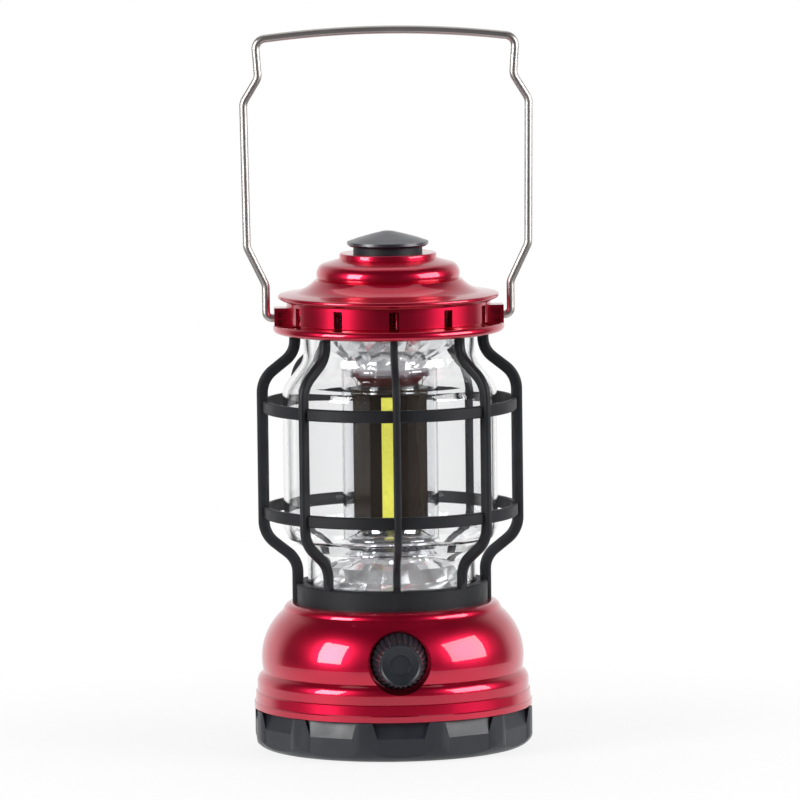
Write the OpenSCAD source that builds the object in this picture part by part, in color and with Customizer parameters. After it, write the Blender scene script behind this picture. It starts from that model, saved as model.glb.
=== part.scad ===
// Retro camping lantern in the style of an oil lamp: domed base with three D cells, ribbed guard
// cage round a clear globe, vented collar, flared cap, chimney and a wire bail.
// Origin: centre of the underside, on the ground. +Z up, the dimmer knob faces -Y,
// the bail turns about an axis along X.

/* [Battery cover] */
// Outer diameter of the twist-off battery cover, the widest part of the base
cover_d = 125; // [122:0.5:132]
// Height of the battery cover
cover_h = 17.8; // [16.5:0.1:20]
// Radius of the rounded bottom edge
cover_edge_r = 7; // [3:0.5:8]
// Thickness of the cover's side wall behind the grip recesses
cover_wall = 5.5; // [5:0.1:6.5]
// Thickness of the cover's floor
cover_floor = 2.2; // [1.6:0.1:3]
// Number of grip recesses round the cover
grips = 12; // [8:1:14]
// Width of each grip recess at its lower edge
grip_w = 20.6; // [12:0.2:22]
// Extra width of a grip recess at the cover's top edge
grip_flare = 4.8; // [0:0.2:6]
// Height of a grip recess
grip_h = 7.2; // [4:0.2:9]
// Depth of the flat panels between the rounded pillars
panel_depth = 1.9; // [1.7:0.05:2.1]
// Radius of the rounded pillars between the panels
pillar_r = 12; // [10:0.5:16]
// Depth of a grip recess at the cover's top edge, behind the panel
grip_depth = 2.1; // [0.8:0.1:2.6]
// Angle that the cover turns between locked and open
twist = 30; // [20:1:40]

/* [Base housing] */
// Height of the housing from its lower flange to the seat of the cage
housing_h = 46.5; // [44:0.5:48]
// Distance of the dome's widest part behind the cover's side
dome_step = 4.25; // [3:0.25:5]
// Width of the dome's shoulder outside the foot of the cage's ribs
shoulder_w = 4.85; // [3.5:0.05:6]
// Depth of the dome's widest part below the seat of the cage
dome_drop = 24.5; // [22.5:0.5:25]
// Wall thickness of the housing
housing_wall = 2.5; // [1.8:0.1:3]
// Step between the battery cover's side and the flange's lip
flange_step = 0.8; // [0.3:0.1:1.5]

/* [Dimmer] */
// Diameter of the dimmer knob
knob_d = 25.4; // [22:0.2:28]
// Length of the dimmer knob
knob_len = 14.5; // [12:0.5:18]
// Diameter of the dimmer knob's face
knob_face_d = 19.8; // [17:0.2:22]
// Number of grip grooves round the knob
knob_ridges = 28; // [18:1:34]
// Height of the knob's centre above the housing's flange
knob_rise = 25.6; // [25.4:0.1:28]
// Gap between the knob and the edge of its recess
knob_gap = 1.2; // [0.6:0.1:2]
// Depth of the floor of the knob's recess behind the dome's widest part
recess_depth = 8.75; // [7.25:0.25:12]
// Diameter of the potentiometer's shaft
shaft_d = 6; // [5:0.1:6.4]

/* [Guard cage] */
// Diameter of the cage's lower ring
ring_d = 85; // [84:0.5:88]
// Height of the cage's lower ring above the foot of the globe
ring_over = 1.3; // [1:0.1:5]
// Diameter over the ribs at the middle of the cage
cage_d = 117.8; // [112:0.2:119]
// Height of the cage from the dome to the collar
cage_h = 119.9; // [112:0.1:126]
// Number of ribs
ribs = 8; // [6:1:10]
// Width of a rib
rib_w = 3.3; // [2.5:0.1:4]
// Width of the flat on a rib's outer face, between its rounded edges
rib_flat = 0.4; // [0.2:0.1:1.2]
// Depth of a rib, measured along the radius
rib_depth = 5; // [4:0.1:6]
// How far a rib stands proud of the ring
rib_proud = 1.7; // [1:0.1:3]
// How far a rib stands proud of the hoops
hoop_inset = 2.6; // [1.5:0.1:3.5]
// Height of a hoop
hoop_h = 5.3; // [4:0.1:7]
// Height of the lower hoop's top above the dome
low_hoop_z = 43.1; // [38:0.5:48]
// Distance of the upper hoop's top below the collar
high_hoop_drop = 29.8; // [26:0.1:36]
// Height of a rib's shoulder, lower and upper alike
shoulder_h = 23; // [21:0.5:27]

/* [Globe] */
// Outer diameter of the globe
globe_d = 95; // [92:0.5:100]
// Outer diameter of the globe's two necks
globe_neck_d = 74.6; // [74:0.1:76]
// Wall thickness of the globe
globe_wall = 2.1; // [1.5:0.1:2.3]
// Height of the moulded line round the globe's lower shoulder, above the dome
globe_line_z = 29; // [27:0.5:33]

/* [Light] */
// Radius of the six-sided core over its corners
core_r = 16.4; // [13:0.2:17]
// Length of the core
core_len = 59.5; // [56:0.5:60]
// Angle by which the core and its strips are turned from the knob's side
core_turn = 5; // [0:1:30]
// Width of a light strip
strip_w = 6.2; // [4:0.2:10]
// Bare length of the core below the light strips
strip_foot = 1; // [1:0.5:10]
// Outer diameter of the clear tube round the core
tube_d = 42.6; // [40:0.2:43]
// Wall thickness of the clear tube
tube_wall = 1.5; // [1:0.1:1.8]
// Number of facets round the reflectors
facets = 16; // [10:1:24]
// Depth of the reflectors' facets
facet_depth = 1.4; // [0.4:0.1:1.8]
// Height of the lower reflector
cone_h = 17.2; // [16:0.2:17.8]
// Radius of both reflectors at their narrow ends
cone_r = 15.9; // [15.2:0.1:17]
// Radius of both reflectors at the middle of their height
cone_mid_r = 28.7; // [26:0.1:30]

/* [Collar] */
// Outer diameter of the collar's wall
collar_d = 90.4; // [90:0.2:93]
// Height of the collar from the rim's underside to the cap
collar_h = 13.6; // [13:0.1:18]
// Diameter of the collar's lower rim
rim_d = 102.6; // [98:0.2:103]
// Height of the lower rim
rim_h = 4.2; // [3:0.1:5]
// Number of vent slots in each of the two banks
vents = 5; // [3:1:5]
// Angle between two vent slots
vent_pitch = 32.5; // [20:0.5:33]
// Width of a vent slot
vent_w = 4.3; // [2:0.1:6]
// Height of a pivot ear
ear_h = 9.4; // [7.5:0.1:9.5]
// Width of a pivot ear
ear_w = 9.6; // [8:0.1:12]
// Distance from the lantern's axis to the ear's outer face
ear_x = 50.8; // [49:0.1:51]

/* [Cap] */
// Diameter of the cap's brim
brim_d = 98; // [94:0.5:102]
// Diameter of the cap's steep middle
crown_d = 63.6; // [60:0.2:68]
// Diameter of the raised disc on top of the cap
disc_d = 43; // [40:0.5:48]
// Height of the cap from the collar to the top of the raised disc
cap_h = 21.4; // [20:0.2:25]
// Wall thickness of the cap
cap_wall = 2; // [1.4:0.1:2.4]
// Diameter of the chimney's neck
chimney_neck_d = 30.6; // [26:0.2:34]
// Height of the chimney's neck
chimney_neck_h = 2.9; // [2.5:0.1:6]
// Diameter of the chimney's cap
chimney_d = 36; // [34:0.2:40]
// Height of the chimney's cap
chimney_h = 6.8; // [5:0.2:9]

/* [Bail] */
// Diameter of the bail's wire
wire_d = 3.5; // [3:0.1:3.6]
// Height of the bail's top bar above the pivot
bail_h = 126.9; // [120:0.1:135]
// Half width of the bail beside the ears
bail_low_x = 54.2; // [54.2:0.1:56]
// Half width of the bail at its widest
bail_wide_x = 63.1; // [62.5:0.1:66]
// Half width of the bail below the top bar
bail_top_x = 56.4; // [50:0.1:58]
// How far the bail's top corners stand out beyond that
bail_corner_out = 1.2; // [0.2:0.1:3]
// Rise of the top bar's arch
bail_arch = 3.5; // [2:0.1:6]
// Height above the pivot at which the bail starts to widen
bail_flare_z = 14.7; // [12:0.1:18]
// Height above the pivot at which the bail is at its widest
bail_wide_z = 31.5; // [28:0.1:38]
// Distance below the top bar at which the bail starts to narrow
bail_narrow_drop = 31.4; // [28:0.1:36]
// Distance below the top bar at which the bail has narrowed
bail_neck_drop = 20.5; // [15:0.1:23]

/* [Batteries] */
// Diameter of a D cell
cell_d = 33.2; // [32.6:0.1:33.4]
// Length of a D cell with its terminal
cell_len = 61.5; // [60:0.1:61.6]
// Wall of the holder's three tubes
holder_wall = 1.2; // [0.9:0.1:1.6]
// Web between two neighbouring tubes
cell_web = 1.7; // [1.7:0.1:2.2]

/* [Fits] */
// Radial clearance of a turning shaft in its bore
run_gap = 0.05; // [0.02:0.01:0.1]
// Clearance between parts that slide or are put together loosely
loose_gap = 0.4; // [0.3:0.05:0.5]
// Clearance between the turning battery cover and the housing above it
cover_gap = 0.2; // [0.1:0.05:0.4]

/* [Hidden] */
$fn = 96;
e = 0.01;
weld = 0.04;

red = [0.72, 0.02, 0.09];
black = [0.13, 0.13, 0.14];
clear = [0.85, 0.9, 0.92, 0.35];
mirror_grey = [0.85, 0.86, 0.88];
steel = [0.75, 0.74, 0.72];
white = [0.93, 0.93, 0.9];
brass = [0.8, 0.65, 0.3];

// Radii of the base, from the outside in
cover_r = cover_d / 2;
cover_in_r = cover_r - cover_wall;
skirt_r = cover_in_r - loose_gap;
skirt_in_r = skirt_r - housing_wall;
flange_r = cover_r - flange_step;

// Levels of the base
flange_z = cover_h + cover_gap;
seat_z = flange_z + housing_h;
dome_z = seat_z - dome_drop;
land_t = 3.5;
ceiling_z = seat_z - land_t;
skirt_z = cover_floor + 2.1;

// Foot of the cage
ring_r = ring_d / 2;
rib_foot_r = ring_r + rib_proud;

// Section of the dome: an arc from its widest part to the step outside the cage's foot
dome_r = cover_r - dome_step;
step_drop = 4.2;
step_in = dome_r - rib_foot_r - shoulder_w;
dome_arc = (pow(step_in, 2) + pow(dome_drop - step_drop, 2)) / (2 * step_in);
dome_cx = dome_r - dome_arc;

// Inside of the dome at its ceiling, and the holder's plate that lies against it
in_arc = dome_arc - housing_wall;
in_high_a = asin((ceiling_z - dome_z) / in_arc);
ceiling_r = dome_cx + in_arc * cos(in_high_a);
plate_t = 2.6;
plate_r = ceiling_r - loose_gap;

// Bayonet: lugs on the cover, channels in the housing's skirt
lugs = 3;
lug_h = 2.6;
lug_angle = 10;
lug_z = skirt_z + 3.7;
lug_side = 0.8;
lug_gap = 0.3;

// Batteries and their contacts
cell_r = cell_d / 2;
tube_in_r = cell_r + loose_gap;
tube_out_r = tube_in_r + holder_wall;
cell_ring = (cell_d + 2 * loose_gap + cell_web) / sqrt(3);
cell_angles = [90, -30, -150];
carrier_z = cover_floor + 0.4;
carrier_t = 1.6;
spring_h = 2.8;
spring_wire = 0.9;
cell_z = carrier_z + carrier_t + spring_h;
contact_z = cell_z + cell_len;
contact_t = 0.5;
board_z = contact_z + contact_t;
board_t = 1.6;
board_top = board_z + board_t;
board_r = cell_ring + cell_r + 0.5;
stud_r = 2.5;
post_ring = board_r - 7.4;
post_r = 3.2;
post_angles = [-90, 30, 150];
key_r = 1.5;
key_h = 8;
board_screw_len = 8;
board_hole_r = board_r + loose_gap;

// Guard cage
cage_r = cage_d / 2;
hoop_r = cage_r - hoop_inset;
rib_over = 0.3;
shoulder_out = 15;
shoulder_in = 8.5;
rib_low_z = seat_z + 13.5;
rim_z = seat_z + cage_h;
rib_high_z = rim_z - 3.4;
cage_top_z = rim_z + 2.6;
top_ring_h = 2.8;
top_ring_in = globe_neck_d / 2 + 1.4;
lip_z = board_top + 0.2;
lip_t = 1.2;
lip_in_r = board_r - 4.8;
cage_seat_z = lip_z + lip_t;
screw_ring = (board_hole_r + ring_r) / 2;
screw_angles = [45, 135, 225, 315];

// Globe
globe_r = globe_d / 2;
neck_r = globe_neck_d / 2;
neck_in_r = neck_r - globe_wall;
globe_low_z = seat_z + 20;
globe_bend_low_z = seat_z + 35;
globe_bend_high_z = rim_z - 27.9;
globe_high_z = rim_z - 9.4;
globe_top_z = cage_top_z - 0.3;

// Light core
core_base_t = 2.4;
post_top_z = cage_seat_z + cone_h + 0.2;
tube_foot_t = 1.5;
foot_cone_h = 7.5;
horn_r = 6;
tube_r = tube_d / 2;
tube_in = tube_r - tube_wall;
tube_z = post_top_z + tube_foot_t;
core_z = tube_z + foot_cone_h;
core_top = core_z + core_len;
core_ring_h = 1.2;
core_cap_h = 7;
core_cap_top = core_top + core_ring_h + core_cap_h;
tube_over = 0.5;
tube_top = core_cap_top + tube_over;
tube_cap_t = 1.5;
strip_t = 1;
core_flat = core_r * cos(30);

// Collar
collar_r = collar_d / 2;
collar_wall = 1.9;
collar_in_r = collar_r - collar_wall;
collar_top = rim_z + collar_h;
rim_r = rim_d / 2;
deck_t = 2;
deck_z = cage_top_z;
pivot_z = rim_z + rim_h + 2.5;
wire_r = wire_d / 2;
cap_screw_ring = 27.5;
cap_post_r = 3.2;
cap_screw_len = 12;

// Cap and chimney
brim_r = brim_d / 2;
crown_r = crown_d / 2;
crown_edge_a = 62;
disc_r = disc_d / 2;
disc_top = collar_top + cap_h;
disc_h = 2.2;
chimney_z = disc_top + chimney_neck_h;
chimney_top = chimney_z + chimney_h;
boss_r = 4;
chimney_screw_r = 1.5;

// Dimmer
knob_z = flange_z + knob_rise;
knob_r = knob_d / 2;
recess_r = knob_r + knob_gap;
recess_t = 2;
recess_y = dome_r - recess_depth;
knob_y = recess_y + 0.5;
shaft_r = shaft_d / 2;
bush_r = shaft_r + 1.5;
nut_t = 2.2;
pot_r = 8.5;
pot_t = 8;

// Small screws
screw_r = 1.25;
screw_head_r = 2.2;
screw_head_h = 1.6;
collar_screw_ring = collar_in_r - screw_head_r - 0.2;

// ---- helpers ----

// Points on an arc in the r-z plane
function arc(cr, cz, r, a0, a1, n = 8) =
    [for (i = [0:n]) let (a = a0 + (a1 - a0) * i / n) [cr + r * cos(a), cz + r * sin(a)]];

// Turning angle of an S curve between two vertical lines
function s_angle(dr, dz, ri, ro) =
    let (s = ri + ro, l = sqrt(max(0, pow(dr - s, 2) + dz * dz - s * s)))
    atan2(dr - s, dz) + atan2(s, l);

// S curve upwards and outwards, concave then convex
function s_out(r0, z0, r1, z1, ri, ro, n = 8) =
    let (a = s_angle(r1 - r0, z1 - z0, ri, ro))
    concat(arc(r0 + ri, z0, ri, 180, 180 - a, n), arc(r1 - ro, z1, ro, -a, 0, n));

// S curve upwards and inwards, convex then concave
function s_in(r1, z1, r0, z0, ri, ro, n = 8) =
    let (a = s_angle(r1 - r0, z0 - z1, ri, ro))
    concat(arc(r1 - ro, z1, ro, 0, a, n), arc(r0 + ri, z0, ri, 180 + a, 180, n));

function reversed(v) = [for (i = [len(v) - 1:-1:0]) v[i]];

module revolve(points) { rotate_extrude() polygon(points); }

// Flat-topped ring with a square section
module ring(r_out, r_in, z, h) {
    translate([0, 0, z]) difference() {
        cylinder(r = r_out, h = h);
        translate([0, 0, -1]) cylinder(r = r_in, h = h + 2);
    }
}

// Sector of a ring, centred on an angle
module ring_sector(r_in, r_out, z, h, mid, width) {
    rotate([0, 0, mid - width / 2]) translate([0, 0, z])
        rotate_extrude(angle = width) translate([r_in, 0]) square([r_out - r_in, h]);
}

module at(ring_r, angle, z = 0) { rotate([0, 0, angle]) translate([ring_r, 0, z]) children(); }

// Pan-head screw pointing up, its head's top face on z = 0
module screw_up(shank, r = screw_r, head_r = screw_head_r, head_h = screw_head_h) {
    difference() {
        translate([0, 0, -head_h]) cylinder(r = head_r, h = head_h, $fn = 32);
        for (a = [0, 90]) rotate([0, 0, a])
            translate([-head_r * 0.6, -0.3, -head_h - 1]) cube([head_r * 1.2, 0.6, 1.6]);
    }
    translate([0, 0, -e]) cylinder(r = r, h = shank + e, $fn = 32);
}

module screw_down(shank, r = screw_r) { mirror([0, 0, 1]) screw_up(shank, r); }

// Closed shell round the axis whose facets rise and fall between the given outlines;
// each point is [radius, height, share of the facet depth]
module faceted_shell(outline, count, depth) {
    m = len(outline);
    n = 2 * count;
    points = [for (j = [0:n - 1], k = [0:m - 1])
        let (a = 360 * j / n, p = outline[k], r = p[0] - (j % 2) * depth * p[2])
        [r * cos(a), r * sin(a), p[1]]];
    faces = [for (j = [0:n - 1], k = [0:m - 1], half = [0, 1])
        let (j2 = (j + 1) % n, k2 = (k + 1) % m)
        half == 0 ? [j * m + k, j2 * m + k, j2 * m + k2] : [j * m + k, j2 * m + k2, j * m + k2]];
    polyhedron(points, [for (f = faces) reversed(f)]);
}

// Helical wire whose coils narrow towards the top
module coil(r_low, r_high, h, turns, wire, sides = 6, steps = 14) {
    n = turns * steps;
    points = [for (i = [0:n], s = [0:sides - 1])
        let (t = i / n, a = 360 * turns * t, b = 360 * s / sides,
             r = r_low + (r_high - r_low) * t + wire / 2 * cos(b),
             z = wire / 2 + (h - wire) * t + wire / 2 * sin(b))
        [r * cos(a), r * sin(a), z]];
    skin = [for (i = [0:n - 1], s = [0:sides - 1], half = [0, 1])
        let (s2 = (s + 1) % sides, p = i * sides)
        half == 0 ? [p + s, p + s2, p + sides + s2] : [p + s, p + sides + s2, p + sides + s]];
    ends = [[for (s = [sides - 1:-1:0]) s], [for (s = [0:sides - 1]) n * sides + s]];
    polyhedron(points, [for (f = concat(skin, ends)) f]);
}

function unit(v) = v / norm(v);

// Section swept along a path in the x-z plane. Each point is [x, z, bend radius]. The section
// is drawn round the origin, x towards the outside of a bend, and grows by $grow in the bends,
// so that straights and bends bite into each other.
module swept(p) {
    n = len(p);
    // straight length taken up by the bend at each point
    cut = [for (i = [0:n - 1]) i == 0 || i == n - 1 ? 0 :
        let (a = unit([p[i][0] - p[i - 1][0], p[i][1] - p[i - 1][1]]),
             b = unit([p[i + 1][0] - p[i][0], p[i + 1][1] - p[i][1]]))
        p[i][2] * tan(acos(min(1, a * b)) / 2)];
    for (i = [0:n - 2]) {
        $grow = 0;
        a = [p[i][0], p[i][1]];
        b = [p[i + 1][0], p[i + 1][1]];
        d = unit(b - a);
        s = a + d * cut[i];
        l = norm(b - a) - cut[i] - cut[i + 1];
        if (l > 0.001) translate([s[0], 0, s[1]]) rotate([0, 90 - atan2(d[1], d[0]), 0])
            translate([0, 0, i > 0 ? -weld : 0])
                linear_extrude(l + (i > 0 ? weld : 0) + (i < n - 2 ? weld : 0)) children();
    }
    for (i = [1:n - 2]) {
        $grow = weld / 2;
        d = unit([p[i][0] - p[i - 1][0], p[i][1] - p[i - 1][1]]);
        f = unit([p[i + 1][0] - p[i][0], p[i + 1][1] - p[i][1]]);
        side = sign(d[0] * f[1] - d[1] * f[0]);
        start = [p[i][0], p[i][1]] - d * cut[i];
        normal = side * [-d[1], d[0]];
        centre = start + normal * p[i][2];
        a0 = atan2(start[1] - centre[1], start[0] - centre[0]);
        turn = acos(min(1, d * f));
        translate([centre[0], 0, centre[1]]) rotate([90, 0, 0])
            rotate([0, 0, side > 0 ? a0 : a0 - turn]) rotate_extrude(angle = turn)
                translate([p[i][2], 0]) children();
    }
}

// ---- base ----

module grip_cut() {
    slope = atan(grip_depth / grip_h);
    translate([0, -(cover_r - panel_depth), cover_h - grip_h]) rotate([-slope, 0, 0])
        rotate([90, 0, 0]) linear_extrude(12) polygon([
            [-grip_w / 2, 0], [grip_w / 2, 0],
            [(grip_w + grip_flare * 1.3) / 2, grip_h * 1.3],
            [-(grip_w + grip_flare * 1.3) / 2, grip_h * 1.3]]);
}

// What is cut away in front of one flat panel, up to the pillars on its two sides
module panel_cut() {
    difference() {
        translate([-grip_w, -cover_r - 5, -1]) cube([2 * grip_w, 5 + panel_depth, cover_h + 2]);
        for (s = [-1, 1]) rotate([0, 0, s * 180 / grips])
            translate([0, -cover_r + pillar_r - 0.15, -2]) cylinder(r = pillar_r, h = cover_h + 4);
    }
}

module battery_cover() {
    foot_r = cover_r - cover_edge_r;
    color(black) {
        difference() {
            revolve(concat([[0, 1], [foot_r - 11, 1], [foot_r - 10, 0]],
                arc(foot_r, cover_edge_r, cover_edge_r, -90, 0, 10),
                [[cover_r, cover_h], [cover_in_r, cover_h], [cover_in_r, cover_floor],
                 [0, cover_floor]]));
            for (i = [0:grips - 1]) rotate([0, 0, i * 360 / grips]) {
                panel_cut();
                grip_cut();
            }
        }
        for (i = [0:lugs - 1])
            ring_sector(skirt_r - 1.9, cover_in_r + 1, lug_z, lug_h, -90 + i * 360 / lugs, lug_angle);
        translate([0, 0, cover_floor - e]) {
            cylinder(r = stud_r, h = 3.6 + e);
            cylinder(r = 2 * stud_r, h = 0.2 + e);
        }
    }
}

// Push-on nut that holds the contact carrier on the cover's stud
module cover_push_nut() {
    color(steel) ring(2 * stud_r, stud_r, carrier_z + carrier_t + 0.3, 0.6);
}

module contact_carrier() {
    color(white) {
        difference() {
            translate([0, 0, carrier_z]) cylinder(r = cell_ring + tube_out_r, h = carrier_t);
            translate([0, 0, carrier_z - 1]) cylinder(r = stud_r + loose_gap, h = carrier_t + 2);
        }
        for (a = post_angles) at(post_ring, a, carrier_z + carrier_t - e)
            cylinder(r = key_r, h = key_h, $fn = 32);
    }
}

module contact_springs() {
    color(brass) for (a = cell_angles) at(cell_ring, a, carrier_z + carrier_t)
        coil(7.5, 4, spring_h, 2.5, spring_wire);
}

// Three tubes for the cells, the plate that hangs them in the housing and the board's posts
module battery_holder() {
    color(black) difference() {
        union() {
            for (a = cell_angles) at(cell_ring, a, cell_z + 1)
                cylinder(r = tube_out_r, h = ceiling_z - cell_z - 1 - e);
            translate([0, 0, ceiling_z - plate_t]) cylinder(r = plate_r, h = plate_t);
            for (a = post_angles) at(post_ring, a, cell_z)
                cylinder(r = post_r, h = board_z - cell_z, $fn = 48);
        }
        for (a = cell_angles) at(cell_ring, a, 0) cylinder(r = tube_in_r, h = board_z + 10);
        for (a = post_angles) {
            at(post_ring, a, carrier_z)
                cylinder(r = key_r + loose_gap, h = carrier_t + key_h + 0.8, $fn = 48);
            at(post_ring, a, board_z - board_screw_len - 1)
                cylinder(r = screw_r + run_gap, h = board_screw_len + 2, $fn = 48);
        }
        for (a = screw_angles) at(screw_ring, a, 0)
            cylinder(r = screw_r + 0.2, h = seat_z, $fn = 48);
        // sight windows in the outer side of each tube
        for (a = cell_angles) rotate([0, 0, a]) translate([cell_ring + 4, -7, cell_z + 12])
            cube([30, 14, ceiling_z - plate_t - cell_z - 22]);
    }
}

// One D cell standing on z = 0
module cell() {
    nub_h = 1.5;
    body_h = cell_len - nub_h;
    color("goldenrod") {
        revolve([[0, 0.3], [cell_r - 4, 0.3], [cell_r - 3.4, 0], [cell_r - 0.6, 0], [cell_r, 0.6],
            [cell_r, body_h - 1], [cell_r - 1, body_h], [0, body_h]]);
        translate([0, 0, body_h - e]) cylinder(r = 4.75, h = nub_h + e, $fn = 48);
    }
}

module battery_1() { at(cell_ring, cell_angles[0], cell_z) cell(); }
module battery_2() { at(cell_ring, cell_angles[1], cell_z + cell_len) mirror([0, 0, 1]) cell(); }
module battery_3() { at(cell_ring, cell_angles[2], cell_z) cell(); }

module top_contacts() {
    color(brass) for (a = cell_angles) at(cell_ring, a, contact_z) difference() {
        cylinder(r = 7, h = contact_t, $fn = 48);
        translate([0, 0, -1]) cylinder(r = 1, h = contact_t + 2, $fn = 24);
    }
}

module driver_board() {
    part_ring = 22;
    part_h = 4;
    color("darkgreen") difference() {
        translate([0, 0, board_z]) cylinder(r = board_r, h = board_t);
        for (a = post_angles) at(post_ring, a, board_z - 1)
            cylinder(r = screw_r + 0.2, h = board_t + 2, $fn = 48);
        translate([0, 0, board_z - 1]) cylinder(r = 3, h = board_t + 2, $fn = 48);
    }
    // coil, capacitor and chip under the board, in the gaps between the cells
    color("dimgray") translate([0, 0, board_z - part_h]) {
        for (a = [post_angles[0], post_angles[1]]) at(part_ring, a)
            cylinder(r = 2.4, h = part_h + e, $fn = 32);
        at(part_ring, post_angles[2]) translate([-2.5, -2.5, part_h - 1.5]) cube([5, 5, 1.5 + e]);
    }
}

module board_screws() {
    color(steel) for (a = post_angles) at(post_ring, a, board_top)
        screw_down(board_screw_len);
}

// Outer and inner outline of the dome, with the stepped flange below and the cage's seat on top
module base_housing() {
    bead_r = flange_r - 1.4;
    bead_arc = 5;
    bead_z = flange_z + 11.3;
    crease_z = flange_z + 16;
    step_a = asin((dome_drop - step_drop) / dome_arc);
    low_a = asin((crease_z - dome_z) / dome_arc);
    mid_wall = housing_wall / 2;
    in_low_a = asin((crease_z - dome_z) / in_arc);
    seat_r = rib_foot_r + 0.6;
    outer = concat(
        [[flange_r, flange_z], [flange_r, flange_z + 2.5], [flange_r - 0.5, flange_z + 2.9],
         [flange_r - 0.8, flange_z + 7.1], [bead_r, flange_z + 7.5]],
        arc(bead_r - bead_arc, bead_z, bead_arc, 0, 55),
        arc(dome_cx, dome_z, dome_arc, low_a, step_a, 16),
        arc(seat_r - 0.4, seat_z - step_drop + 0.3, step_drop - 0.3, 10, 90));
    inner = concat(
        [[board_hole_r, seat_z], [board_hole_r, ceiling_z]],
        reversed(arc(dome_cx, dome_z, in_arc, in_low_a, in_high_a, 16)),
        [[bead_r - housing_wall, bead_z], [bead_r - housing_wall, flange_z + 2.5],
         [skirt_in_r, flange_z + 2.5], [skirt_in_r, skirt_z], [skirt_r, skirt_z],
         [skirt_r, flange_z]]);
    color(red) difference() {
        union() {
            revolve(concat(outer, inner));
            // cup behind the knob, merged into the wall
            intersection() {
                translate([0, -(recess_y - recess_t), knob_z]) rotate([90, 0, 0])
                    cylinder(r = recess_r + 2, h = 30);
                revolve(concat([[0, flange_z + 5], [bead_r - mid_wall, flange_z + 5],
                    [bead_r - mid_wall, bead_z]],
                    arc(dome_cx, dome_z, dome_arc - mid_wall, low_a, step_a, 16),
                    [[0, dome_z + (dome_arc - mid_wall) * sin(step_a)]]));
            }
        }
        translate([0, -recess_y, knob_z]) rotate([90, 0, 0]) cylinder(r = recess_r, h = 30);
        translate([0, -recess_y + 10, knob_z]) rotate([90, 0, 0])
            cylinder(r = bush_r + run_gap, h = 20);
        for (a = screw_angles) at(screw_ring, a, ceiling_z - 1)
            cylinder(r = screw_r + 0.2, h = land_t + 2, $fn = 48);
        for (i = [0:lugs - 1]) bayonet_channel(-90 + i * 360 / lugs);
    }
}

// L-shaped channel in the skirt: the lug enters from below and turns back to its stop
module bayonet_channel(mid) {
    w = lug_angle + 2 * lug_side;
    // the level part ends in the middle of the entry
    level = twist + w / 2;
    low = lug_z - lug_gap;
    high = lug_z + lug_h + lug_gap;
    ring_sector(skirt_in_r - 1, skirt_r + 1, low, high - low, mid + twist - level / 2, level);
    ring_sector(skirt_in_r - 1, skirt_r + 1, skirt_z - 1, high - skirt_z + 1.2, mid + twist, w);
}

// ---- dimmer ----

module potentiometer() {
    back_y = recess_y - recess_t;
    color("dimgray") difference() {
        union() {
            translate([0, -back_y, knob_z]) rotate([-90, 0, 0]) cylinder(r = pot_r, h = pot_t);
            translate([0, -back_y + e, knob_z]) rotate([90, 0, 0])
                cylinder(r = bush_r, h = recess_t + nut_t + 1.3);
            for (x = [-5, 0, 5]) translate([x - 0.6, -back_y + 3, knob_z - pot_r - 4])
                cube([1.2, 1, 6.5]);
        }
        translate([0, -back_y + 4, knob_z]) rotate([90, 0, 0]) cylinder(r = shaft_r + run_gap, h = 30);
    }
}

module pot_nut() {
    color(steel) translate([0, -recess_y, knob_z]) rotate([90, 0, 0]) difference() {
        cylinder(r = bush_r + 1.6, h = nut_t, $fn = 6);
        translate([0, 0, -1]) cylinder(r = bush_r + run_gap, h = nut_t + 2);
    }
}

module pot_shaft() {
    color(steel) translate([0, -(recess_y - recess_t - 3.6), knob_z]) rotate([90, 0, 0])
        cylinder(r = shaft_r, h = knob_y + knob_len - 3.2 - (recess_y - recess_t - 3.6));
}

module dimmer_knob() {
    face_r = knob_face_d / 2;
    skirt_h = 1.6;
    edge = 1.1;
    dimple_r = 4.2;
    hollow_r = bush_r + 2.6;
    groove_r = 0.9;
    lean = atan((knob_r - face_r) / (knob_len - edge - skirt_h));
    color(black) translate([0, -knob_y, knob_z]) rotate([90, 0, 0]) difference() {
        revolve(concat([[0, 0], [knob_r, 0], [knob_r, skirt_h], [face_r, knob_len - edge]],
            arc(face_r - edge, knob_len - edge, edge, 20, 90, 4),
            [[face_r - edge - 0.8, knob_len - 0.5], [dimple_r + 0.3, knob_len - 0.9],
             [dimple_r, knob_len - 1.4], [0, knob_len - 1.4]]));
        for (i = [0:knob_ridges - 1]) rotate([0, 0, (i + 0.5) * 360 / knob_ridges])
            translate([knob_r + groove_r - 0.5, 0, skirt_h]) rotate([0, -lean, 0])
                translate([0, 0, -skirt_h - 1]) cylinder(r = groove_r, h = knob_len + 4, $fn = 24);
        translate([0, 0, -1]) cylinder(r = hollow_r, h = nut_t + 3.5);
        translate([0, 0, -1]) cylinder(r = shaft_r + run_gap, h = knob_len - 2);
    }
}

// ---- cage ----

// Section of a rib, rounded on all four edges; x runs along the depth
module rib_section() {
    round_r = (rib_w - rib_flat) / 2 + $grow;
    x = rib_depth / 2 + $grow - round_r;
    y = rib_flat / 2;
    polygon(concat(arc(x, y, round_r, 0, 90, 3), arc(-x, y, round_r, 90, 180, 3),
        arc(-x, -y, round_r, 180, 270, 3), arc(x, -y, round_r, 270, 360, 3)));
}

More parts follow.
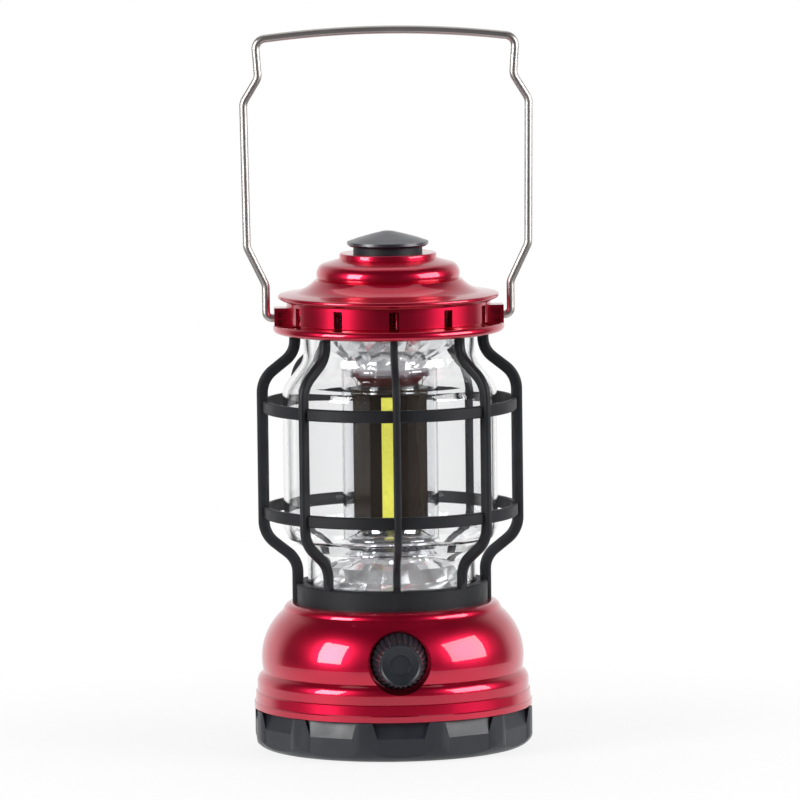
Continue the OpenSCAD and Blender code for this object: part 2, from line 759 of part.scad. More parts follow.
// One rib along +x from its foot up into the top ring: out over the lower shoulder, straight
// past the hoops and back over the upper shoulder
module rib(foot_z) {
    foot_x = rib_foot_r - rib_depth / 2;
    mid_x = cage_r - rib_depth / 2;
    bend_in = shoulder_in + rib_depth / 2;
    bend_out = shoulder_out - rib_depth / 2;
    half_turn = tan(s_angle(mid_x - foot_x, shoulder_h, bend_in, bend_out) / 2);
    swept([[foot_x, foot_z, 0], [foot_x, rib_low_z + bend_in * half_turn, bend_in],
        [mid_x, rib_low_z + shoulder_h - bend_out * half_turn, bend_out],
        [mid_x, rib_high_z - shoulder_h + bend_out * half_turn, bend_out],
        [foot_x, rib_high_z - bend_in * half_turn, bend_in],
        [foot_x, cage_top_z - top_ring_h / 4, 0]]) rib_section();
}

module hoop(top_z) {
    c = 0.5;
    in_r = cage_r - rib_depth + 0.35;
    z0 = top_z - hoop_h;
    revolve([[in_r, z0], [hoop_r - c, z0], [hoop_r, z0 + c], [hoop_r, top_z - c],
        [hoop_r - c, top_z], [in_r, top_z]]);
}

module guard_cage() {
    ring_top = cage_seat_z + ring_over;
    color(black) difference() {
        union() {
            revolve([[board_hole_r, seat_z], [ring_r, seat_z], [ring_r, ring_top - 0.8],
                [ring_r - 0.8, ring_top], [neck_r + 0.4, ring_top], [neck_r + 0.4, cage_seat_z],
                [lip_in_r, cage_seat_z], [lip_in_r, lip_z], [board_hole_r, lip_z]]);
            ring(rib_foot_r + rib_over, top_ring_in, cage_top_z - top_ring_h, top_ring_h);
            hoop(seat_z + low_hoop_z);
            hoop(rim_z - high_hoop_drop);
            // the ribs at the sides run down to the dome, the others end in the ring's top edge
            for (i = [0:ribs - 1]) let (a = -90 + i * 360 / ribs) rotate([0, 0, a])
                if (abs(cos(a)) > 0.99) rib(seat_z);
                else difference() {
                    rib(ring_top - 3);
                    revolve([[ring_r - rib_over, seat_z], [cage_r, seat_z],
                        [cage_r, ring_top + 3.5], [rib_foot_r + rib_over, ring_top + 3.5],
                        [ring_r - rib_over, ring_top - 1.2]]);
                }
        }
        for (a = screw_angles) at(screw_ring, a, seat_z - 1)
            cylinder(r = screw_r + run_gap, h = lip_z - seat_z, $fn = 48);
        for (a = screw_angles) at(collar_screw_ring, a + 22.5, cage_top_z - top_ring_h - 1)
            cylinder(r = screw_r + run_gap, h = top_ring_h + 2, $fn = 48);
    }
}

// Screws up through the holder's plate and the housing into the cage's ring
module cage_screws() {
    z = ceiling_z - plate_t;
    color(steel) for (a = screw_angles) at(screw_ring, a, z) screw_up(lip_z - 1.8 - z);
}

// ---- globe and light ----

// Side of the globe at a given offset into its wall: neck, shoulder, body, shoulder, neck
function globe_side(in) = concat(
    [[neck_r - in, cage_seat_z]],
    s_out(neck_r - in, globe_low_z, globe_r - in, globe_bend_low_z, 5 + in, 9 - in),
    s_in(globe_r - in, globe_bend_high_z, neck_r + 0.6 - in, globe_high_z, 9 + in, 9 - in),
    [[neck_r + 0.6 - in, globe_top_z]]);

module globe() {
    line_r = lookup(seat_z + globe_line_z, [for (p = globe_side(0)) [p[1], p[0]]]);
    color(clear) {
        revolve(concat(globe_side(0), reversed(globe_side(globe_wall))));
        // moulded line round the lower shoulder
        translate([0, 0, seat_z + globe_line_z]) rotate_extrude() translate([line_r - 0.2, 0])
            circle(r = 0.6, $fn = 24);
    }
}

// Faceted mirror cone that stands on the cage's lip and closes under the clear tube
module lower_reflector() {
    t = 1.3;
    h = cone_h;
    foot_r = neck_in_r - 0.3;
    foot_in_r = lip_in_r + 0.2;
    z = cage_seat_z;
    color(mirror_grey) faceted_shell([
        [foot_r, z, 0], [foot_r, z + 1, 0], [foot_r - 1.9, z + h * 0.21, 0.6],
        [cone_mid_r, z + h * 0.52, 1], [cone_r + 1.7, z + h * 0.94, 0.9],
        [cone_r, z + h, 0.4], [cone_r - t, z + h, 0.4],
        [cone_r + 0.4, z + h * 0.87, 0.9], [cone_mid_r - t, z + h * 0.44, 1],
        [foot_in_r, z + 0.6, 0.3], [foot_in_r, z, 0]], facets, facet_depth);
}

// Post that carries the light core on the board
module core_base() {
    flange = post_ring - screw_head_r - 0.3;
    post = cone_r - 3.9;
    color(black) difference() {
        union() {
            translate([0, 0, board_top]) cylinder(r = flange, h = core_base_t);
            translate([0, 0, board_top + 1]) cylinder(r = post, h = post_top_z - board_top - 1);
        }
        translate([0, 0, board_top - 1]) cylinder(r = 4, h = post_top_z - board_top + 2);
    }
}

// Flared outline of the mirrors inside the tube, from the core outwards
function horn(z, up) = [for (p = arc(core_flat + 0.3 + horn_r, 0, horn_r, 180, 100, 8))
    [p[0], z + up * p[1]]];

// Mirror at the core's foot with the disc that the tube stands on
module tube_foot() {
    color(mirror_grey) difference() {
        revolve(concat([[4, post_top_z], [tube_r + 0.4, post_top_z], [tube_r + 0.4, tube_z],
            [tube_in - 0.2, tube_z], [tube_in - 0.2, core_z - horn_r]],
            reversed(horn(core_z, -1)), [[4, core_z]]));
        translate([0, 0, post_top_z - 1]) cylinder(r = 4, h = core_z - post_top_z + 2);
    }
}

module inner_tube() { color(clear) ring(tube_r, tube_in, tube_z, tube_top - tube_z); }

module led_core() {
    color([0.16, 0.15, 0.15]) rotate([0, 0, -core_turn]) difference() {
        translate([0, 0, core_z]) cylinder(r = core_r, h = core_len, $fn = 6);
        translate([0, 0, core_z - 1]) cylinder(r = 5, h = core_len + 2);
    }
}

// Light strip on the face of the core that looks along -Y: substrate with a glowing channel
module cob_strip() {
    z = core_z + strip_foot;
    color([0.86, 0.86, 0.35]) translate([-strip_w / 2, -core_flat - strip_t, z])
        cube([strip_w, strip_t, core_top - 1 - z]);
}

module cob_strip_front() { rotate([0, 0, -core_turn]) cob_strip(); }
module cob_strip_left() { rotate([0, 0, -120 - core_turn]) cob_strip(); }
module cob_strip_right() { rotate([0, 0, 120 - core_turn]) cob_strip(); }

module core_ring() {
    color(white) ring(core_r + 0.7, 5, core_top, core_ring_h);
}

// Mirror above the core, flared like a horn
module core_cap() {
    z = core_top + core_ring_h;
    color(mirror_grey) difference() {
        revolve(concat([[0, z]], horn(z, 1), [[tube_in - 0.6, z + horn_r], [tube_in - 0.6, core_cap_top],
            [0, core_cap_top]]));
        translate([0, 0, z - 1]) cylinder(r = 3, h = core_cap_h + 2);
    }
}

// Plug that centres the top of the tube
module tube_cap() {
    color(mirror_grey) translate([0, 0, core_cap_top])
        cylinder(r = tube_in - 0.2, h = tube_top + tube_cap_t - core_cap_top);
}

module upper_reflector() {
    t = 1.4;
    z0 = tube_top + tube_cap_t;
    flange = neck_in_r + 0.2;
    h = deck_z - z0;
    color(mirror_grey) faceted_shell([
        [cone_r - t - 3, z0, 0], [cone_r, z0, 0.4], [cone_r + 1.7, z0 + h * 0.13, 0.9],
        [cone_mid_r, z0 + h * 0.53, 1], [flange - 2.2, z0 + h * 0.82, 0.8],
        [flange, deck_z - t, 0], [flange, deck_z, 0], [flange - 3, deck_z, 0],
        [flange - 2.2 - t, z0 + h * 0.86, 0.8], [cone_mid_r - t, z0 + h * 0.6, 1],
        [cone_r + 0.4, z0 + h * 0.2, 0.9], [cone_r - t, z0 + t, 0.4],
        [cone_r - t - 3, z0 + t, 0]], facets, facet_depth);
}

// ---- collar, cap and chimney ----

// Block that carries the end of the bail, with a moulded pocket in its front and back
module ear() {
    pocket = 1.2;
    wall = 1.6;
    z0 = pivot_z - ear_h / 2;
    difference() {
        translate([collar_in_r + 0.6, -ear_w / 2, z0])
            cube([ear_x - collar_in_r - 0.6, ear_w, ear_h]);
        for (s = [-1, 1]) for (dz = [wall, ear_h / 2 + wall / 4])
            translate([collar_r + 0.2, s * (ear_w / 2 - pocket / 2) - pocket / 2, z0 + dz])
                cube([ear_x - collar_r - 0.2 - wall, pocket + (s > 0 ? 1 : 0),
                    ear_h / 2 - wall * 1.25]);
    }
}

module vent_collar() {
    vent_z = rim_z + rim_h - 0.6;
    vent_h = collar_top - 1.2 - vent_z;
    bead = rim_h / 2;
    color(red) difference() {
        union() {
            revolve(concat(
                [[collar_in_r, rim_z + 1], [collar_r + 1, rim_z]],
                [[rim_r - bead, rim_z]], arc(rim_r - bead, rim_z + bead, bead, -60, 60),
                [[collar_r + 1.2, rim_z + rim_h], [collar_r, rim_z + rim_h + 0.6],
                 [collar_r, collar_top], [collar_in_r, collar_top]]));
            ring(collar_in_r + e, cap_screw_ring - 5.5, deck_z, deck_t);
            for (s = [0, 180]) rotate([0, 0, s]) ear();
        }
        for (bank = [-90, 90], i = [0:vents - 1])
            rotate([0, 0, bank + (i - (vents - 1) / 2) * vent_pitch])
                translate([collar_in_r - 2, -vent_w / 2, vent_z]) cube([8, vent_w, vent_h]);
        for (s = [-1, 1]) translate([s * (collar_in_r - 2), 0, pivot_z]) rotate([0, s * 90, 0])
            cylinder(r = wire_r + run_gap, h = 20);
        for (a = screw_angles) at(collar_screw_ring, a + 22.5, deck_z - 1)
            cylinder(r = screw_r + 0.2, h = deck_t + 2, $fn = 48);
        for (a = post_angles) at(cap_screw_ring, a, deck_z - 1)
            cylinder(r = chimney_screw_r + 0.2, h = deck_t + 2, $fn = 48);
        // clearance for the cage's top ring under the deck
        translate([0, 0, rim_z - 1])
            cylinder(r = rib_foot_r + rib_over + 0.2, h = cage_top_z - rim_z + 1);
    }
}

module collar_screws() {
    color(steel) for (a = screw_angles) at(collar_screw_ring, a + 22.5, deck_z + deck_t)
        screw_down(deck_t + top_ring_h - 0.6);
}

// Flank of the cap's crown at a given depth into its wall
function crown_side(in) = concat(
    arc(crown_r + 14.1, collar_top + 21.8, 18.1 + in, 256, 222, 8),
    arc(crown_r - 5.2, collar_top + 12.2, 5.2 - in, -28, crown_edge_a, 8));

// Outline of the cap's outer side from the brim's edge to the raised disc
function cap_out() = concat(
    [[collar_r - 0.2, collar_top], [collar_r + 0.8, collar_top + 0.2], [brim_r - 0.6, collar_top + 1.4]],
    arc(brim_r - 1, collar_top + 2.3, 1, -50, 75, 6),
    [[brim_r - 6.5, collar_top + 4.2]],
    crown_side(0),
    [[disc_r + 1.4, disc_top - disc_h - 0.7], [disc_r, disc_top - disc_h - 0.2]],
    arc(disc_r - 0.7, disc_top - 0.7, 0.7, 0, 90, 4));

module top_cap() {
    top_in_z = disc_top - cap_wall;
    color(red) difference() {
        union() {
            revolve(concat(cap_out(), [[0, disc_top], [0, top_in_z], [disc_r - cap_wall, top_in_z],
                [disc_r - cap_wall + 0.5, top_in_z - disc_h]],
                reversed(crown_side(cap_wall)),
                [[collar_r - 4, collar_top + 4.2 - cap_wall], [collar_r - 4, collar_top]]));
            for (a = post_angles) intersection() {
                at(cap_screw_ring, a, deck_z + deck_t) cylinder(r = cap_post_r, h = 30, $fn = 48);
                revolve(concat([[0, deck_z], [crown_r - 1, deck_z]],
                    arc(crown_r - 5.2, collar_top + 12.2, 5.2 - cap_wall / 2, 0, crown_edge_a, 6),
                    [[0, collar_top + 12.2 + (5.2 - cap_wall / 2) * sin(crown_edge_a)]]));
            }
        }
        translate([0, 0, top_in_z - 1])
            cylinder(r = chimney_screw_r + 0.2, h = cap_wall + 2, $fn = 48);
        for (a = post_angles) at(cap_screw_ring, a, deck_z + deck_t - 1)
            cylinder(r = chimney_screw_r + run_gap, h = cap_screw_len + 1, $fn = 48);
    }
}

module cap_screws() {
    color(steel) for (a = post_angles) at(cap_screw_ring, a, deck_z)
        screw_up(cap_screw_len, chimney_screw_r, 2.8, 2);
}

module chimney_neck() {
    color(black) ring(chimney_neck_d / 2, chimney_neck_d / 2 - 2, disc_top, chimney_neck_h);
}

module chimney_cap() {
    r = chimney_d / 2;
    lip = 2.1;
    color(black) difference() {
        union() {
            revolve(concat([[0, chimney_z], [r - 1.2, chimney_z], [r, chimney_z + 0.9],
                [r, chimney_z + lip], [r * 0.75, chimney_z + lip + (chimney_h - lip) * 0.34],
                [r * 0.4, chimney_z + lip + (chimney_h - lip) * 0.72],
                [r * 0.12, chimney_top - 0.1], [0, chimney_top]]));
            translate([0, 0, disc_top]) cylinder(r = boss_r, h = chimney_neck_h + e);
        }
        translate([0, 0, disc_top - 1])
            cylinder(r = chimney_screw_r + run_gap, h = chimney_neck_h + chimney_h - 1);
    }
}

module chimney_screw() {
    color(steel) translate([0, 0, disc_top - cap_wall])
        screw_up(cap_wall + chimney_neck_h + 2.5, chimney_screw_r, 2.8, 2);
}

// ---- bail ----

module bail() {
    corner_x = bail_top_x + bail_corner_out;
    slope = atan(2 * bail_arch / corner_x);
    apex = bail_h + bail_arch * 0.93;
    corner = apex - corner_x * tan(slope);
    arch_r = corner_x * 0.92 / sin(slope);
    end_x = collar_in_r + 0.7;
    bend = 6;
    half = [[end_x, 0, 0], [bail_low_x, 0, 2.6], [bail_low_x, bail_flare_z, bend],
        [bail_wide_x - 0.8, bail_wide_z, bend], [bail_wide_x, bail_h - bail_narrow_drop, bend],
        [bail_top_x, bail_h - bail_neck_drop, bend], [corner_x, corner, 4.5]];
    left = [for (q = half) [-q[0], q[1], q[2]]];
    color(steel) translate([0, 0, pivot_z])
        swept(concat(left, [[0, apex, arch_r]], reversed(half))) circle(r = wire_r + $grow, $fn = 48);
}

battery_cover();
cover_push_nut();
contact_carrier();
contact_springs();
battery_holder();
battery_1();
battery_2();
battery_3();
top_contacts();
driver_board();
board_screws();
base_housing();
potentiometer();
pot_nut();
pot_shaft();
dimmer_knob();
cage_screws();
guard_cage();
globe();
lower_reflector();
core_base();
tube_foot();
inner_tube();
led_core();
cob_strip_front();
cob_strip_left();
cob_strip_right();
core_ring();
core_cap();
tube_cap();
upper_reflector();
vent_collar();
collar_screws();
top_cap();
cap_screws();
chimney_neck();
chimney_cap();
chimney_screw();
bail();
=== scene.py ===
"""Looks of the camping lantern: materials, even shading, floor, light and camera."""
import math

import bpy
from mathutils import Matrix, Vector

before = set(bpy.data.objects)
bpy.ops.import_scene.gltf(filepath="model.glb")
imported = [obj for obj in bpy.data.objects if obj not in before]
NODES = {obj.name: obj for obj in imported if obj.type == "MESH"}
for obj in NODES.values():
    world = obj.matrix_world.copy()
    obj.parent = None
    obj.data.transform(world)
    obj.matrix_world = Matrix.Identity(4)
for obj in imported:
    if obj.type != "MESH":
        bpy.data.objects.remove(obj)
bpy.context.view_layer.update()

WHITE = (1, 1, 1, 1)

# ---- camera: the product shot's long lens, slightly above and to the left of the front ----
VIEW_DISTANCE = 3.836      # metres from the lantern's axis
VIEW_TURN = math.radians(3.07)
VIEW_RAISE = math.radians(5.9)
VIEW_ROLL = math.radians(0.7)
VIEW_WIDTH = 0.3544        # width of the picture at the lantern, in metres
AIM_HEIGHT = 0.1537
AIM_RIGHT = 0.0046
SENSOR = 36.0
CLIP_END = 50

# ---- lamps: name, azimuth, elevation, width and height in degrees as the lantern sees them,
# and radiance. Azimuth 0 is in front, 90 on the right. ----
SOFTBOXES = (
    ("softbox left", -60, 17, 24, 33, 12.0),
    ("softbox right", 68, 18, 38, 33, 7.5),
    ("top", 180, 72, 50, 40, 1.0),
)
LAMP_DISTANCE = 1.2
LAMP_AIM = (0, 0, 0.12)

# ---- studio: white behind the lantern, dim in front and overhead ----
FRONT_TONE = (0.05, 0.05, 0.055, 1)
BACKDROP_EDGE = (0.4, 0.62)    # Y of the directions over which dim turns to white
OVERHEAD_EDGE = (0.15, 0.85)   # Z of the directions over which the strength falls from 1
OVERHEAD_STRENGTH = 0.3

# ---- floor ----
FLOOR_RADIUS = 0.32
FLOOR_CORNERS = 96
FLOOR_DROP = 0.0002        # keeps the floor just under the foot ring
FLOOR_COLOUR = ((0.9, 0.9, 0.9), (0.93, 0.93, 0.93), 2)
FLOOR_ROUGH = (0.6, 0.7, 4)
SHADOW_REACH = (0.1, 0.3)  # metres from the lantern over which its shadow fades into white
SHADOW_SHARE = 0.16        # share of the floor's own shading close to the lantern

# ---- even shading over the bands that make up a curved wall ----
FACETED = ("lower_reflector", "upper_reflector")   # left out, because their facets stay sharp
MERGE_DISTANCE = 1e-6
SHARP_ANGLE = math.radians(25)

# ---- noise and clear walls ----
NOISE_REACH = (0.3, 0.7)   # the values between which nearly all of a noise texture lies
TONE_DETAIL = 4.0
BUMP_DETAIL = 3.0
EVEN = (1, 1, 1)
ALONG_Z = (1, 1, 0.2)      # draws the noise out along the core
SHADOW_TINT = (0.97, 0.97, 0.97, 1)   # light that gets through one clear wall

# ---- finishes ----
# colour: two base colours and the scale of the noise between them
# rough: lowest and highest roughness and the scale of the noise between them
# bump: scale, height in metres and strength
# stretch: scale of both noises along each axis, where it isn't even
# shader: values of the Principled shader, with an underscore for each space
# glow: strength of an emission in the base colour
# clear: True where shadow rays pass through
# nodes: the pieces with this finish
FINISHES = {
    "red candy paint": {
        "colour": ((0.5, 0.002, 0.03), (0.58, 0.003, 0.04), 25),
        "rough": (0.3, 0.36, 60),
        "bump": (5200, 0.00002, 0.15),
        "shader": {"Metallic": 0.85, "Coat_Weight": 0.9, "Coat_Roughness": 0.02},
        "nodes": ["base_housing", "vent_collar", "top_cap"]},
    "satin black moulding": {
        "colour": ((0.010, 0.0105, 0.013), (0.016, 0.017, 0.021), 70),
        "rough": (0.46, 0.56, 150),
        "bump": (2600, 0.00008, 0.25),
        "shader": {"Specular_IOR_Level": 0.28},
        "nodes": ["guard_cage", "battery_holder", "core_base", "chimney_neck"]},
    "black cover moulding": {
        "colour": ((0.011, 0.013, 0.018), (0.018, 0.021, 0.028), 60),
        "rough": (0.32, 0.44, 120),
        "bump": (1800, 0.0001, 0.3),
        "shader": {"Specular_IOR_Level": 0.4},
        "nodes": ["battery_cover", "dimmer_knob"]},
    "gloss black moulding": {
        "colour": ((0.006, 0.009, 0.018), (0.01, 0.013, 0.024), 50),
        "rough": (0.34, 0.42, 80),
        "shader": {"Specular_IOR_Level": 0.9, "Coat_Weight": 0.65, "Coat_IOR": 1.8,
                   "Coat_Roughness": 0.3},
        "nodes": ["chimney_cap"]},
    "clear plastic": {
        "colour": ((0.97, 0.975, 0.98), (0.985, 0.99, 0.99), 20),
        "rough": (0.0, 0.015, 30),
        "shader": {"Transmission_Weight": 1.0, "IOR": 1.49},
        "clear": True,
        "nodes": ["globe"]},
    "clear tube": {
        "colour": ((0.95, 0.96, 0.97), (0.98, 0.985, 0.99), 20),
        "rough": (0.0, 0.02, 30),
        "shader": {"Transmission_Weight": 1.0, "IOR": 1.45},
        "clear": True,
        "nodes": ["inner_tube"]},
    "plated mirror": {
        "colour": ((0.9, 0.9, 0.92), (0.96, 0.96, 0.97), 40),
        "rough": (0.07, 0.12, 60),
        "shader": {"Metallic": 0.8},
        "nodes": ["lower_reflector", "upper_reflector", "tube_cap"]},
    "plated horn": {
        "colour": ((0.86, 0.86, 0.88), (0.92, 0.92, 0.93), 40),
        "rough": (0.05, 0.09, 60),
        "shader": {"Metallic": 1.0},
        "nodes": ["tube_foot", "core_cap"]},
    "polished steel wire": {
        "colour": ((0.5, 0.47, 0.45), (0.56, 0.53, 0.51), 30),
        "rough": (0.39, 0.43, 30),
        "shader": {"Metallic": 1.0, "Specular_Tint": (0.75, 0.73, 0.71, 1)},
        "nodes": ["bail"]},
    "zinc plated steel": {
        "colour": ((0.5, 0.5, 0.5), (0.62, 0.62, 0.63), 200),
        "rough": (0.25, 0.4, 300),
        "shader": {"Metallic": 1.0},
        "nodes": ["cover_push_nut", "board_screws", "pot_nut", "pot_shaft", "cage_screws",
                  "collar_screws", "cap_screws", "chimney_screw"]},
    "contact metal": {
        "colour": ((0.7, 0.55, 0.28), (0.8, 0.66, 0.38), 200),
        "rough": (0.2, 0.35, 300),
        "shader": {"Metallic": 1.0},
        "nodes": ["contact_springs", "top_contacts"]},
    "dark anodised core": {
        "colour": ((0.016, 0.011, 0.008), (0.021, 0.014, 0.01), 40),
        "rough": (0.24, 0.3, 40),
        "stretch": ALONG_Z,
        "shader": {"Specular_IOR_Level": 0.12},
        "nodes": ["led_core", "core_ring"]},
    "white moulding": {
        "colour": ((0.7, 0.7, 0.68), (0.8, 0.8, 0.78), 60),
        "rough": (0.35, 0.5, 90),
        "nodes": ["contact_carrier"]},
    "solder mask green": {
        "colour": ((0.01, 0.12, 0.04), (0.02, 0.18, 0.06), 150),
        "rough": (0.3, 0.4, 90),
        "nodes": ["driver_board"]},
    "bare cell jacket": {
        "colour": ((0.5, 0.36, 0.14), (0.62, 0.47, 0.2), 40),
        "rough": (0.25, 0.35, 90),
        "shader": {"Metallic": 1.0},
        "nodes": ["battery_1", "battery_2", "battery_3"]},
    "grey moulding": {
        "colour": ((0.12, 0.12, 0.13), (0.18, 0.18, 0.19), 90),
        "rough": (0.4, 0.5, 90),
        "nodes": ["potentiometer"]},
    # slightly self-lit, so that the yellow reads through the clear walls
    "yellow phosphor": {
        "colour": ((0.56, 0.54, 0.06), (0.66, 0.64, 0.08), 900),
        "rough": (0.45, 0.6, 400),
        "glow": 0.22,
        "nodes": ["cob_strip_front", "cob_strip_left", "cob_strip_right"]},
}


# ---- helpers for node trees ----
def add_node(tree, kind, **settings):
    made = tree.nodes.new(kind)
    for key, value in settings.items():
        setattr(made, key, value)
    return made


def combine(tree, operation, *sources):
    """The result of a math node over sockets and plain numbers."""
    made = add_node(tree, "ShaderNodeMath", operation=operation)
    for socket, source in zip(made.inputs, sources):
        if isinstance(source, (int, float)):
            socket.default_value = source
        else:
            tree.links.new(source, socket)
    return made.outputs[0]


def rescale(tree, source, reach, low, high, **settings):
    """A value that goes from low to high as source goes over its reach."""
    made = add_node(tree, "ShaderNodeMapRange", **settings)
    for name, value in zip(("From Min", "From Max", "To Min", "To Max"), (*reach, low, high)):
        made.inputs[name].default_value = value
    tree.links.new(source, made.inputs["Value"])
    return made.outputs["Result"]


def mix_shaders(tree, share, first, second, output):
    """Sends the mix of two shaders to an output; share is the share of the second one."""
    mix = add_node(tree, "ShaderNodeMixShader")
    for socket, source in zip(mix.inputs, (share, first, second)):
        tree.links.new(source, socket)
    tree.links.new(mix.outputs["Shader"], output.inputs["Surface"])


class Mat:
    """A node material that is built up from a Principled shader."""

    def __init__(self, name):
        self.data = bpy.data.materials.new(name)
        self.data.use_nodes = True
        self.tree = self.data.node_tree
        self.bsdf = self.tree.nodes["Principled BSDF"]
        self.out = self.tree.nodes["Material Output"]
        self.coords = add_node(self.tree, "ShaderNodeTexCoord").outputs["Object"]

    def link(self, source, socket_name):
        self.tree.links.new(source, self.bsdf.inputs[socket_name])

    def noise(self, scale, detail, stretch):
        """Noise over the object's own metres."""
        mapping = add_node(self.tree, "ShaderNodeMapping")
        mapping.inputs["Scale"].default_value = stretch
        noise = add_node(self.tree, "ShaderNodeTexNoise")
        noise.inputs["Scale"].default_value = scale
        noise.inputs["Detail"].default_value = detail
        self.tree.links.new(self.coords, mapping.inputs["Vector"])
        self.tree.links.new(mapping.outputs["Vector"], noise.inputs["Vector"])
        return noise.outputs["Fac"]

    def colour(self, low, high, scale, stretch=EVEN):
        """Links a colour between low and high to the shader, and returns it."""
        ramp = add_node(self.tree, "ShaderNodeValToRGB")
        for element, place, tone in zip(ramp.color_ramp.elements, NOISE_REACH, (low, high)):
            element.position = place
            element.color = (*tone, 1)
        self.tree.links.new(self.noise(scale, TONE_DETAIL, stretch), ramp.inputs["Fac"])
        self.link(ramp.outputs["Color"], "Base Color")
        return ramp.outputs["Color"]

    def rough(self, low, high, scale, stretch=EVEN):
        noise = self.noise(scale, TONE_DETAIL, stretch)
        self.link(rescale(self.tree, noise, NOISE_REACH, low, high), "Roughness")

    def bump(self, scale, height, strength):
        bump = add_node(self.tree, "ShaderNodeBump")
        bump.inputs["Strength"].default_value = strength
        bump.inputs["Distance"].default_value = height
        self.tree.links.new(self.noise(scale, BUMP_DETAIL, EVEN), bump.inputs["Height"])
        self.link(bump.outputs["Normal"], "Normal")

    def clear_to_light(self):
        """Lets light through to what stands inside, as thin clear plastic does."""
        path = add_node(self.tree, "ShaderNodeLightPath")
        see_through = add_node(self.tree, "ShaderNodeBsdfTransparent")
        see_through.inputs["Color"].default_value = SHADOW_TINT
        mix_shaders(self.tree, path.outputs["Is Shadow Ray"], self.bsdf.outputs["BSDF"],
                    see_through.outputs["BSDF"], self.out)


# ---- the lantern ----
def make_material(name, finish):
    mat = Mat(name)
    stretch = finish.get("stretch", EVEN)
    for key, value in finish.get("shader", {}).items():
        mat.bsdf.inputs[key.replace("_", " ")].default_value = value
    tone = mat.colour(*finish["colour"], stretch)
    mat.rough(*finish["rough"], stretch)
    if "bump" in finish:
        mat.bump(*finish["bump"])
    if "glow" in finish:
        mat.link(tone, "Emission Color")
        mat.bsdf.inputs["Emission Strength"].default_value = finish["glow"]
    if finish.get("clear"):
        mat.clear_to_light()
    return mat.data


def dress_nodes():
    for name, finish in FINISHES.items():
        material = make_material(name, finish)
        for piece in finish["nodes"]:
            for slot in NODES[piece].material_slots:
                slot.material = material


def smooth_nodes():
    """Joins the bands of each curved surface, so that highlights run over them without steps."""
    for name, piece in NODES.items():
        if name in FACETED:
            continue
        piece.modifiers.new("weld", "WELD").merge_threshold = MERGE_DISTANCE
        piece.modifiers.new("edges", "EDGE_SPLIT").split_angle = SHARP_ANGLE
        normals = piece.modifiers.new("normals", "WEIGHTED_NORMAL")
        normals.mode = "FACE_AREA_WITH_ANGLE"
        normals.keep_sharp = True


# ---- floor, light and camera ----
def make_floor():
    """A pale floor that turns into the white background away from the lantern."""
    bpy.ops.mesh.primitive_circle_add(vertices=FLOOR_CORNERS, radius=FLOOR_RADIUS,
                                      fill_type="NGON", location=(0, 0, -FLOOR_DROP))
    floor = bpy.context.object
    floor.name = "floor"
    mat = Mat("pale floor")
    mat.colour(*FLOOR_COLOUR)
    mat.rough(*FLOOR_ROUGH)
    tree = mat.tree
    path = add_node(tree, "ShaderNodeLightPath").outputs
    seen = combine(tree, "MAXIMUM", path["Is Camera Ray"], path["Is Transmission Ray"])
    seen = combine(tree, "MAXIMUM", seen, path["Is Glossy Ray"])
    away = add_node(tree, "ShaderNodeVectorMath", operation="LENGTH")
    tree.links.new(mat.coords, away.inputs[0])
    white = rescale(tree, away.outputs["Value"], SHADOW_REACH, 1 - SHADOW_SHARE, 1,
                    interpolation_type="SMOOTHSTEP")
    glow = add_node(tree, "ShaderNodeEmission")
    glow.inputs["Color"].default_value = WHITE
    mix_shaders(tree, combine(tree, "MULTIPLY", seen, white), mat.bsdf.outputs["BSDF"],
                glow.outputs[0], mat.out)
    floor.data.materials.append(mat.data)


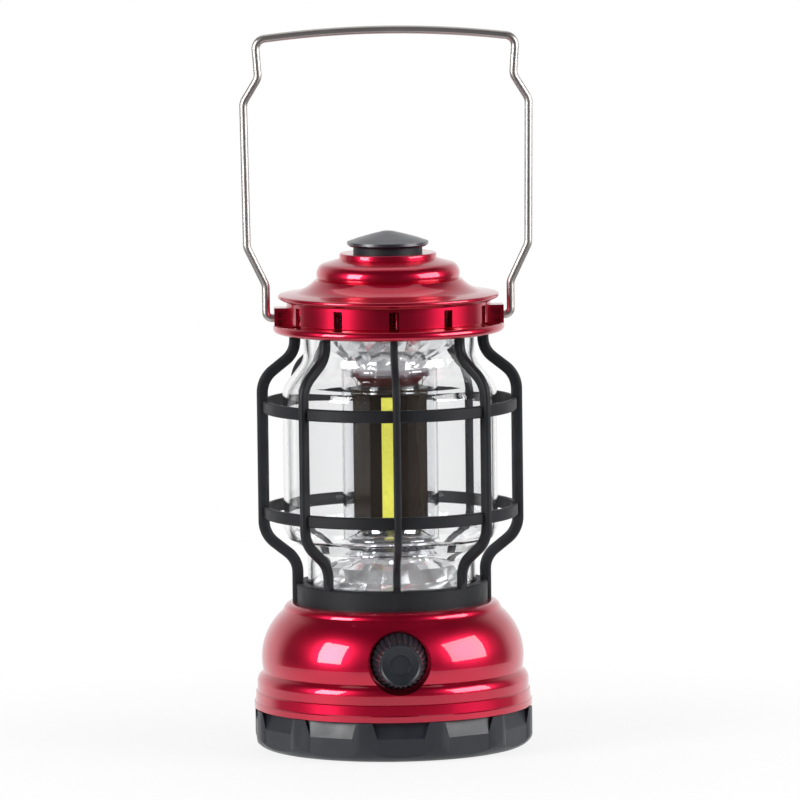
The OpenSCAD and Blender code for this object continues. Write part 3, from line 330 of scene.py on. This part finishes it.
def make_world():
    """White behind the lantern and dimmer in front of it and overhead, as in a studio cove."""
    world = bpy.data.worlds.new("studio")
    bpy.context.scene.world = world
    world.use_nodes = True
    tree = world.node_tree
    tree.nodes.clear()
    coords = add_node(tree, "ShaderNodeTexCoord")
    direction = add_node(tree, "ShaderNodeSeparateXYZ")
    tree.links.new(coords.outputs["Generated"], direction.inputs[0])
    tone = add_node(tree, "ShaderNodeValToRGB")
    tone.color_ramp.elements[0].color = FRONT_TONE
    tone.color_ramp.elements[1].color = WHITE
    behind = rescale(tree, direction.outputs["Y"], BACKDROP_EDGE, 0, 1)
    tree.links.new(behind, tone.inputs["Fac"])
    studio = add_node(tree, "ShaderNodeBackground")
    tree.links.new(tone.outputs["Color"], studio.inputs["Color"])
    strength = rescale(tree, direction.outputs["Z"], OVERHEAD_EDGE, 1, OVERHEAD_STRENGTH)
    tree.links.new(strength, studio.inputs["Strength"])
    # the plain white behind the object, seen directly or straight through the clear parts
    plain = add_node(tree, "ShaderNodeBackground")
    plain.inputs["Color"].default_value = WHITE
    path = add_node(tree, "ShaderNodeLightPath").outputs
    bounces = combine(tree, "ADD", path["Glossy Depth"], path["Diffuse Depth"])
    unbounced = combine(tree, "LESS_THAN", bounces, 0.5)
    through = combine(tree, "MULTIPLY", path["Is Transmission Ray"], unbounced)
    seen = combine(tree, "MAXIMUM", path["Is Camera Ray"], through)
    mix_shaders(tree, seen, studio.outputs[0], plain.outputs[0],
                add_node(tree, "ShaderNodeOutputWorld"))


def make_softbox(name, azimuth, elevation, width, height, radiance):
    """A soft rectangular lamp that faces the lantern."""
    light = bpy.data.lights.new(name, "AREA")
    light.shape = "RECTANGLE"
    light.size = 2 * LAMP_DISTANCE * math.tan(math.radians(width) / 2)
    light.size_y = 2 * LAMP_DISTANCE * math.tan(math.radians(height) / 2)
    light.energy = radiance * math.pi * light.size * light.size_y
    lamp = bpy.data.objects.new(name, light)
    bpy.context.collection.objects.link(lamp)
    turn, rise = math.radians(azimuth), math.radians(elevation)
    away = Vector((math.sin(turn) * math.cos(rise), -math.cos(turn) * math.cos(rise),
                   math.sin(rise)))
    lamp.location = Vector(LAMP_AIM) + away * LAMP_DISTANCE
    lamp.rotation_euler = away.to_track_quat("Z", "Y").to_euler()


def make_camera():
    data = bpy.data.cameras.new("camera")
    data.sensor_width = SENSOR
    data.lens = SENSOR * VIEW_DISTANCE / VIEW_WIDTH
    data.clip_end = CLIP_END
    camera = bpy.data.objects.new("camera", data)
    bpy.context.collection.objects.link(camera)
    turn_sin, turn_cos = math.sin(VIEW_TURN), math.cos(VIEW_TURN)
    aim = Vector((turn_cos * AIM_RIGHT, -turn_sin * AIM_RIGHT, AIM_HEIGHT))
    back = Vector((-turn_sin * math.cos(VIEW_RAISE), -turn_cos * math.cos(VIEW_RAISE),
                   math.sin(VIEW_RAISE)))
    camera.location = aim + back * VIEW_DISTANCE
    upright = (-back).to_track_quat("-Z", "Y").to_matrix().to_4x4()
    camera.rotation_euler = (upright @ Matrix.Rotation(-VIEW_ROLL, 4, "Z")).to_euler()
    bpy.context.scene.camera = camera


def main():
    bpy.context.scene.view_settings.view_transform = "Standard"
    dress_nodes()
    smooth_nodes()
    make_floor()
    make_world()
    for softbox in SOFTBOXES:
        make_softbox(*softbox)
    make_camera()


main()
